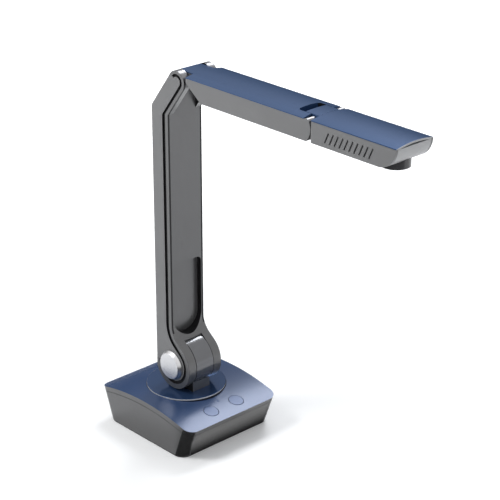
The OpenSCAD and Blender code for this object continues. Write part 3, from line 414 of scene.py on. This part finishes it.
FINISH = {
    "blue_cover": satin_metal("blue_cover", COVER_BLUE, metallic=0.4, roughness=0.3, specular=0.25),
    "lid_blue": satin_metal("lid_blue", LID_BLUE, metallic=0.1, roughness=0.26, specular=0.45),
    "disc_blue": satin_metal("disc_blue", DISC_BLUE, metallic=0.5, roughness=0.12, specular=0.4),
    "button_blue": satin_metal("button_blue", BUTTON_BLUE, metallic=0.1, roughness=0.28, specular=0.35),
    "grey_shell": moulded("grey_shell", (0.173, 0.173, 0.175)),
    "column_grey": moulded("column_grey", COLUMN_GREY, roughness=0.3, metallic=0.6),
    # Column front and crank face, with painted shade lines at their edges
    "column_front": shade_lined("column_front", COLUMN_GREY, SHADE_LINE_BLACK),
    # Crank face painted lighter: a painted reflection
    "crank_front": shade_lined("crank_front", CRANK_PAINTED_LIGHT_GREY, SHADE_LINE_BLACK),
    "base_grey": moulded("base_grey", (0.14, 0.14, 0.142), roughness=0.24, metallic=0.85),
    "pedestal_grey": moulded("pedestal_grey", (0.15, 0.152, 0.16), roughness=0.15, metallic=0.6),
    "panel_grey": moulded("panel_grey", (0.38, 0.38, 0.385), roughness=0.4),
    # Painted shade: near-black put on gaps, grooves and recesses where shade falls
    "groove_black": moulded("groove_black", (0.008, 0.008, 0.009), roughness=0.6, specular=0.2),
    # Painted highlight: a lighter silver on the barrels, which are the same grey mouldings
    "barrel_silver": moulded("barrel_silver", (0.23, 0.23, 0.24), roughness=0.3, metallic=0.9),
    # Painted highlight above and painted shadow below on the disc's side
    "rim_silver": painted_rim_light("rim_silver", RIM_PAINTED_HIGHLIGHT, below=RIM_SHADE),
    "cap_silver": turned("cap_silver", CAP_SILVER, roughness=0.3, centre=LOWER_PIVOT, keep=(0, 1, 1)),
    "lens_black": moulded("lens_black", (0.03, 0.03, 0.032), roughness=0.25, specular=0.5),
    "lens_ring_grey": moulded("lens_ring_grey", (0.05, 0.05, 0.055), roughness=0.35),
    "lens_glass": coated_glass("lens_glass", LENS_DARK, slant_color=LENS_COATING),
    "steel": brushed("steel", (0.60, 0.61, 0.63), roughness=0.3, scale=ACROSS),
    "ballast_steel": brushed("ballast_steel", (0.35, 0.36, 0.38), roughness=0.5, scale=ACROSS),
    "sheet_steel": brushed("sheet_steel", (0.55, 0.56, 0.58), roughness=0.3, scale=ALONG),
    "dark_frame": moulded("dark_frame", (0.04, 0.04, 0.043), roughness=0.5),
    "aluminium_frame": brushed("aluminium_frame", (0.62, 0.63, 0.65), roughness=0.4, scale=ALONG),
    "bush_brass": brushed("bush_brass", (0.62, 0.47, 0.20), roughness=0.3, scale=ACROSS),
    "washer_bronze": brushed("washer_bronze", (0.45, 0.30, 0.14), roughness=0.35, scale=ACROSS),
    "board_green": circuit_board("board_green", (0.02, 0.12, 0.05)),
    "chip_black": moulded("chip_black", (0.025, 0.025, 0.028), roughness=0.5),
    "ribbon_film": moulded("ribbon_film", (0.60, 0.58, 0.52), roughness=0.35),
    "bearing_white": moulded("bearing_white", (0.75, 0.75, 0.70), roughness=0.5),
    "lamp_lens": clear_lamp("lamp_lens", (0.10, 0.16, 0.30)),
    "pad_rubber": rubber("pad_rubber", (0.02, 0.02, 0.02)),
}

BODIES = frame["record"]["behaviour"]["bodies"]
BODY_OF = {node: body for body, nodes in BODIES.items() for node in nodes}
SLOT_OF = {entry["node"]: entry["material_slot"] for entry in frame["record"]["subparts"]}


def finish_of(node):
    """The finish of a node's slot, but a shinier grey on the tray."""
    return FINISH["base_grey" if node == "base_housing" else SLOT_OF[node]]


def dress(piece, material):
    piece.data.materials.clear()
    piece.data.materials.append(material)


def second_finish(piece, material, belongs):
    """Give the faces that belongs() picks by their middle and direction another finish."""
    piece.data.materials.append(material)
    added = len(piece.data.materials) - 1
    for face in piece.data.polygons:
        if belongs(face.center, face.normal):
            face.material_index = added


# Visible mouldings: the node's own form with its hard edges rounded

ROUNDED = {
    "base_lid": 0.5 * MM,
    "base_housing": 0.4 * MM,
    "turntable_disc": 0.15 * MM,
    "pedestal": 0.9 * MM,
    "column_rear_cover": 0.3 * MM,
    "pivot_cap_left": 0.2 * MM,
    "pivot_cap_right": 0.2 * MM,
    "arm_lower_shell": 0.3 * MM,
    "arm_top_cover": 0.25 * MM,
    "head_lower_shell": 0.3 * MM,
    "head_top_cover": 0.25 * MM,
    "head_front_panel": 0.25 * MM,
    "head_hinge_block": 0.2 * MM,
    "lens_barrel": 0.3 * MM,
    "button_left": 0.2 * MM,
    "button_right": 0.2 * MM,
}
SHELL_EDGE = 0.3 * MM
SHELL_FRONT_EDGE = 0.75 * MM
HARD_ANGLE = 28 * DEG
FLAT_ANGLE = 0.2 * DEG
SAME_POINT = 0.002 * MM


def deselect_all():
    bpy.ops.object.select_all(action="DESELECT")


def activate(piece):
    deselect_all()
    piece.select_set(True)
    bpy.context.view_layer.objects.active = piece


def merged_copy(node):
    """A copy of a node with its loose triangles joined into flat faces."""
    activate(frame["nodes"][node])
    bpy.ops.object.duplicate()
    piece = bpy.context.view_layer.objects.active
    piece.name = node + "_rounded"
    bpy.ops.mesh.customdata_custom_splitnormals_clear()
    bpy.ops.object.mode_set(mode="EDIT")
    bpy.ops.mesh.select_all(action="SELECT")
    bpy.ops.mesh.remove_doubles(threshold=SAME_POINT)
    bpy.ops.mesh.dissolve_limited(angle_limit=FLAT_ANGLE)
    bpy.ops.object.mode_set(mode="OBJECT")
    return piece


def weigh_edges(piece, width, wide, is_wide):
    """Every hard edge is rounded by width, and those that is_wide() picks by wide."""
    sides = {}
    for face in piece.data.polygons:
        for key in face.edge_keys:
            sides.setdefault(key, []).append(face.normal.copy())
    weights = piece.data.attributes.new("bevel_weight_edge", "FLOAT", "EDGE")
    points = piece.data.vertices
    for edge in piece.data.edges:
        normals = sides[edge.key]
        if len(normals) != 2 or normals[0].angle(normals[1], 0.0) < HARD_ANGLE:
            continue
        ends = [points[i].co for i in edge.vertices]
        weights.data[edge.index].value = 1.0 if is_wide(ends, normals) else width / wide


def rounded_copy(node, width, wide=None, is_wide=None):
    piece = merged_copy(node)
    edges = piece.modifiers.new("edges", "BEVEL")
    edges.width = wide or width
    edges.segments = 2
    if wide:
        weigh_edges(piece, width, wide, is_wide)
        edges.limit_method = "WEIGHT"
    else:
        edges.limit_method = "ANGLE"
        edges.angle_limit = HARD_ANGLE
    edges.use_clamp_overlap = True
    edges.miter_outer = "MITER_ARC"
    bpy.ops.object.modifier_apply(modifier=edges.name)
    bpy.ops.object.shade_smooth_by_angle(angle=HARD_ANGLE)
    lean = piece.modifiers.new("normals", "WEIGHTED_NORMAL")
    lean.keep_sharp = True
    bpy.ops.object.modifier_apply(modifier=lean.name)
    dress(piece, finish_of(node))
    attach(piece, BODY_OF[node])
    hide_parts(node)
    return piece


def down_the_front(ends, normals):
    """Edges between the column's sides and its front, from the boss to the ears."""
    outside = all(abs(abs(end.x) - COLUMN_SIDE) < CLOSE for end in ends)
    side = any(abs(normal.x) > 0.9 for normal in normals)
    front = any(normal.y < -0.4 for normal in normals)
    return outside and side and front


# Faces that take a second finish

# A direction has length 1: a part of it above 0.9 is nearly along that axis, below 0.3 nearly across it.

def on_lid_side(middle, direction):
    return abs(direction.z) < 0.5 and (abs(middle.x) > LID_INNER_X or abs(middle.y) > LID_INNER_Y)


def on_lid_seam(middle, direction):
    """Upper edge of the tray, in the line under the lid, which takes painted shade."""
    seam_radius = CROWN_RADIUS - LID_BAND - LID_GAP
    seam = BASE_HEIGHT - CROWN_RADIUS + math.sqrt(seam_radius ** 2 - middle.y ** 2)
    return direction.z > 0.2 and middle.z > seam - SEAM_EDGE


# Side of the disc, which takes the painted highlight and shadow
def on_disc_side(middle, direction):
    return abs(direction.z) < 0.5 and (middle - DISC_CENTRE).xy.length > DISC_RADIUS - RIM_EDGE


def beside_knuckle(middle, direction):
    """Sides of the central knuckle, with their rounded edges, above its foot, which take painted shade."""
    return abs(direction.x) > 0.2 and middle.z > KNUCKLE_FOOT


def in_column_groove(middle, direction):
    """Floor and walls of the groove along both sides of the column, which take painted shade."""
    depth = abs(middle.x)
    floor = abs(depth - GROOVE_FLOOR) < CLOSE and direction.x * middle.x > 0.9 * GROOVE_FLOOR
    wall = GROOVE_FLOOR < depth < COLUMN_SIDE - NEAR and abs(direction.x) < 0.5
    by_cap = (middle - LOWER_PIVOT).yz.length < CAP_HOLE_RADIUS
    return (floor or wall) and not by_cap


def in_lens_pocket(middle, direction):
    """Walls of the pocket that the lens folds into, which take painted shade."""
    inside = POCKET_FOOT < middle.z < POCKET_HEAD and abs(middle.x) < POCKET_HALF_WIDTH
    return inside and abs(direction.y) < 0.3


def in_upper_fork(middle, direction):
    """Inner sides of the ears that hold the arm, which take painted shade."""
    inward = direction.x * middle.x < 0 and abs(direction.x) > 0.9
    return inward and middle.z > FORK_FOOT and abs(middle.x) < FORK_HALF_WIDTH


def in_knuckle_slot(middle, direction):
    """Inner sides of the boss, with their rounded edges, beside the knuckle, which take painted shade."""
    inward = direction.x * middle.x < -0.2 * abs(middle.x)
    return inward and abs(abs(middle.x) - SLOT_HALF_WIDTH) < SLOT_EDGE


# Slanted edges down the column's front, which take a painted shade line
def on_front_chamfer(middle, direction):
    slanted = 0.3 < abs(direction.x) < 0.95 and direction.y < -0.25
    return slanted and abs(middle.x) > CHAMFER_START


def in_shell_recess(middle, direction):
    """The front shell's faces that take painted shade."""
    groove = in_column_groove(middle, direction) and direction.y > -0.3
    recesses = (in_lens_pocket, in_upper_fork, in_knuckle_slot, on_front_chamfer)
    return groove or any(recess(middle, direction) for recess in recesses)


def on_column_front(middle, direction):
    return direction.y < -0.9 and abs(direction.x) < 0.3


def on_crank_front(middle, direction):
    """Slanted face between the column's front and its ears, painted lighter than the column as a painted
    reflection.
    """
    facing = direction.y < -0.5 and direction.z < -0.3 and abs(direction.x) < 0.3
    return facing and middle.z > FORK_FOOT


def on_ear_top(middle, direction):
    """Rounded tops of the column's ears, beside the arm's hood, which take a painted highlight."""
    offset = (middle - UPPER_HINGE).yz
    near_top = abs(offset.length - CRANK_RADIUS) < ABOUT and offset.normalized().y > 0.2
    return abs(direction.x) < 0.3 and near_top and abs(middle.x) < COLUMN_SIDE - NEAR


def in_scoop(middle, direction):
    """Right wall of the finger scoop, which takes painted shade."""
    inside = SCOOP_LEFT < middle.x < SCOOP_RIGHT and abs(middle.y - SCOOP_MIDDLE) < SCOOP_REACH
    return direction.x < -0.5 and inside


# Barrels of the head's hinge, which take a painted highlight
def on_head_barrel(middle, direction):
    from_axis = (middle - HEAD_HINGE).yz.length
    round_axis = from_axis < HEAD_BARREL_RADIUS + NEAR and middle.z > HEAD_HINGE.z - HEAD_BARREL_DROP
    return abs(direction.x) < 0.3 and round_axis


def in_head_seam(middle, direction):
    """Faces of the arm's front end and of the head's rear end that look at each other, which take painted shade.
    """
    by_seam = abs(middle.y - HEAD_SEAM) < SEAM_REACH and middle.z < HEAD_HINGE.z
    return abs(direction.y) > 0.35 and by_seam


def on_front_end(middle, direction):
    return direction.y < -0.8


# Most of these second finishes are painted light: shade in gaps and recesses, highlights on barrels and on the
# disc's side, a lighter crank face
# In this order, as a later finish covers an earlier one
SECOND_FINISHES = (
    ("base_lid", "base_grey", on_lid_side),
    ("base_housing", "groove_black", on_lid_seam),
    ("turntable_disc", "rim_silver", on_disc_side),
    ("pedestal", "groove_black", beside_knuckle),
    ("column_rear_cover", "groove_black", in_column_groove),
    ("column_front_shell", "column_front", on_column_front),
    ("column_front_shell", "crank_front", on_crank_front),
    ("column_front_shell", "groove_black", in_shell_recess),
    ("column_front_shell", "barrel_silver", on_ear_top),
    ("arm_top_cover", "groove_black", in_scoop),
    ("arm_lower_shell", "barrel_silver", on_head_barrel),
    ("arm_lower_shell", "groove_black", in_head_seam),
    ("head_lower_shell", "groove_black", in_head_seam),
    ("head_top_cover", "panel_grey", on_front_end),
)


# Studio

FLOOR_SIZE = 12
FLOOR_DROP = 0.1 * MM
FLOOR_WHITE = 0.97
LIFT_START = 0.25
LIFT_END = 1.2
LIFT_NEAR = 0.05
LIFT_FAR = 0.45
AIR_COLOR = (0.96, 0.98, 1, 1)
AIR_STRENGTH = 0.65
WHITE = (1, 1, 1, 1)
LAMP_AIM = Vector((0, -0.03, 0.06))
COOL_WHITE = (0.94, 0.96, 1.0)
NEUTRAL_WHITE = (1, 1, 1)


def seen_directly(tree):
    """1 for what the camera sees, itself or in gloss or glass; 0 for light on the object."""
    path = tree.nodes.new("ShaderNodeLightPath")
    in_gloss = calculated(tree, "MAXIMUM", path.outputs["Is Camera Ray"], path.outputs["Is Glossy Ray"])
    return calculated(tree, "MAXIMUM", in_gloss, path.outputs["Is Transmission Ray"])


def add_floor():
    """Pale floor, lifted to the backdrop's white away from the object."""
    deselect_all()
    bpy.ops.mesh.primitive_plane_add(size=FLOOR_SIZE, location=(0, 0, -FLOOR_DROP))
    floor = bpy.context.object
    floor.name = "studio_floor"
    pale = (FLOOR_WHITE, FLOOR_WHITE, FLOOR_WHITE)
    material, tree, shader, place = new_material("pale_floor", pale, 0.0, 0.9, 0.0)
    rise = ranged(
        tree, vector_length(tree, place), LIFT_START, LIFT_END, LIFT_NEAR, LIFT_FAR, smooth=True)
    lift = calculated(tree, "MULTIPLY", seen_directly(tree), rise)
    shader.inputs["Emission Color"].default_value = WHITE
    tree.links.new(lift, shader.inputs["Emission Strength"])
    dress(floor, material)


def glowing(tree, color, strength):
    node = tree.nodes.new("ShaderNodeBackground")
    node.inputs["Color"].default_value = color
    node.inputs["Strength"].default_value = strength
    return node.outputs[0]


def mixed(tree, factor, first, second):
    node = tree.nodes.new("ShaderNodeMixShader")
    for socket, value in zip(node.inputs, (factor, first, second)):
        tree.links.new(value, socket)
    return node.outputs[0]


def add_world():
    """Even light on the object, and a white backdrop."""
    world = bpy.data.worlds.new("studio")
    world.use_nodes = True
    bpy.context.scene.world = world
    tree = world.node_tree
    tree.nodes.clear()
    air = glowing(tree, AIR_COLOR, AIR_STRENGTH)
    backdrop = glowing(tree, WHITE, 1.0)
    output = tree.nodes.new("ShaderNodeOutputWorld")
    tree.links.new(mixed(tree, seen_directly(tree), air, backdrop), output.inputs["Surface"])


def add_softbox(name, direction, distance, width, height, power, color):
    """A rectangular lamp with one pair of edges in line with the base's front."""
    data = bpy.data.lights.new(name, "AREA")
    data.shape = "RECTANGLE"
    data.size = width
    data.size_y = height
    data.energy = power
    data.color = color
    lamp = bpy.data.objects.new(name, data)
    bpy.context.scene.collection.objects.link(lamp)
    away = Vector(direction).normalized()
    across = (Vector((1, 0, 0)) - away * away.x).normalized()
    turn = Matrix((across, away.cross(across), away)).transposed().to_4x4()
    lamp.matrix_world = Matrix.Translation(LAMP_AIM + away * distance) @ turn


def card_finish(name, axis, start, end, at_start, at_end):
    """Painted reflection: brightness that changes along an axis, and that only gloss shows."""
    material = bpy.data.materials.new(name)
    material.use_nodes = True
    tree = material.node_tree
    tree.nodes.clear()
    position = along_axis(tree, object_place(tree), axis)
    glow = tree.nodes.new("ShaderNodeEmission")
    brightness = ranged(tree, position, start, end, at_start, at_end, smooth=True)
    tree.links.new(brightness, glow.inputs["Strength"])
    clear = tree.nodes.new("ShaderNodeBsdfTransparent")
    in_gloss = tree.nodes.new("ShaderNodeLightPath").outputs["Is Glossy Ray"]
    output = tree.nodes.new("ShaderNodeOutputMaterial")
    surface = mixed(tree, in_gloss, clear.outputs[0], glow.outputs[0])
    tree.links.new(surface, output.inputs["Surface"])
    return material


def add_card(name, corners, faces, material):
    mesh = bpy.data.meshes.new(name)
    mesh.from_pydata(corners, [], faces)
    card = bpy.data.objects.new(name, mesh)
    bpy.context.scene.collection.objects.link(card)
    card.data.materials.append(material)


def level_way(angle):
    """Direction on the level, at an angle from X."""
    return Vector((math.cos(angle), math.sin(angle), 0))


def add_back_card():
    """Curved card behind the object, dark at table height and pale at its top, seen only in gloss: a painted
    reflection.
    """
    radius, height, steps = 3.0, 2.8, 24
    first, sweep = -5 * DEG, 95 * DEG
    corners, faces = [], []
    for i in range(steps + 1):
        foot = radius * level_way(first + sweep * i / steps)
        corners += [foot, foot + Vector((0, 0, height))]
        if i:
            faces.append((2 * i - 2, 2 * i, 2 * i + 1, 2 * i - 1))
    add_card("back_card", corners, faces, card_finish("back_card", "Z", 0.5, height, 0.02, 0.9))


def add_camera_side_card():
    """Dark fan on the table, from the object's rounded near corner toward the camera, seen only in gloss: a
    painted dark reflection in the base's sides.
    """
    centre, near, far, steps = Vector((-0.0457, -0.044, 0)), 0.0112, 1.3, 10
    foot_first, foot_sweep = 180 * DEG, 90 * DEG
    fan_first, fan_sweep = 140 * DEG, 147 * DEG
    dark = 0.01
    corners, faces = [], []
    for i in range(steps + 1):
        foot = centre + near * level_way(foot_first + foot_sweep * i / steps)
        corners += [foot, foot + far * level_way(fan_first + fan_sweep * i / steps)]
        if i:
            faces.append((2 * i - 2, 2 * i - 1, 2 * i + 1, 2 * i))
    add_card("camera_side_card", corners, faces, card_finish("camera_side_card", "Z", 0, 1, dark, dark))


def add_front_card():
    """Strip on the table under the base's leaning front, dark at the foot, seen only in gloss: a painted
    reflection of shadow in the base's front.
    """
    near, far, left, right = -0.0542, -0.069, -0.044, 0.1
    corners = [(left, near, 0), (left, far, 0), (right, far, 0), (right, near, 0)]
    add_card("front_card", corners, [(0, 1, 2, 3)], card_finish("front_card", "Y", far, near, 0.95, 0.02))


add_camera()
for node in frame["nodes"].values():
    dress(node, finish_of(node.name))
rounded = {node: rounded_copy(node, width) for node, width in ROUNDED.items()}
rounded["column_front_shell"] = rounded_copy(
    "column_front_shell", SHELL_EDGE, wide=SHELL_FRONT_EDGE, is_wide=down_the_front)
for node, finish, belongs in SECOND_FINISHES:
    second_finish(rounded[node], FINISH[finish], belongs)

add_floor()
add_world()
add_back_card()
add_camera_side_card()
add_front_card()
add_softbox(
    "overhead_softbox", direction=(0.55, 0.30, 0.77), distance=3.2, width=1.3, height=0.95,
    power=40, color=COOL_WHITE)
add_softbox(
    "left_fill", direction=(-0.55, 0.35, 0.76), distance=2.6, width=0.8, height=0.8,
    power=26, color=NEUTRAL_WHITE)

scene = bpy.context.scene
scene.view_settings.view_transform = "Standard"
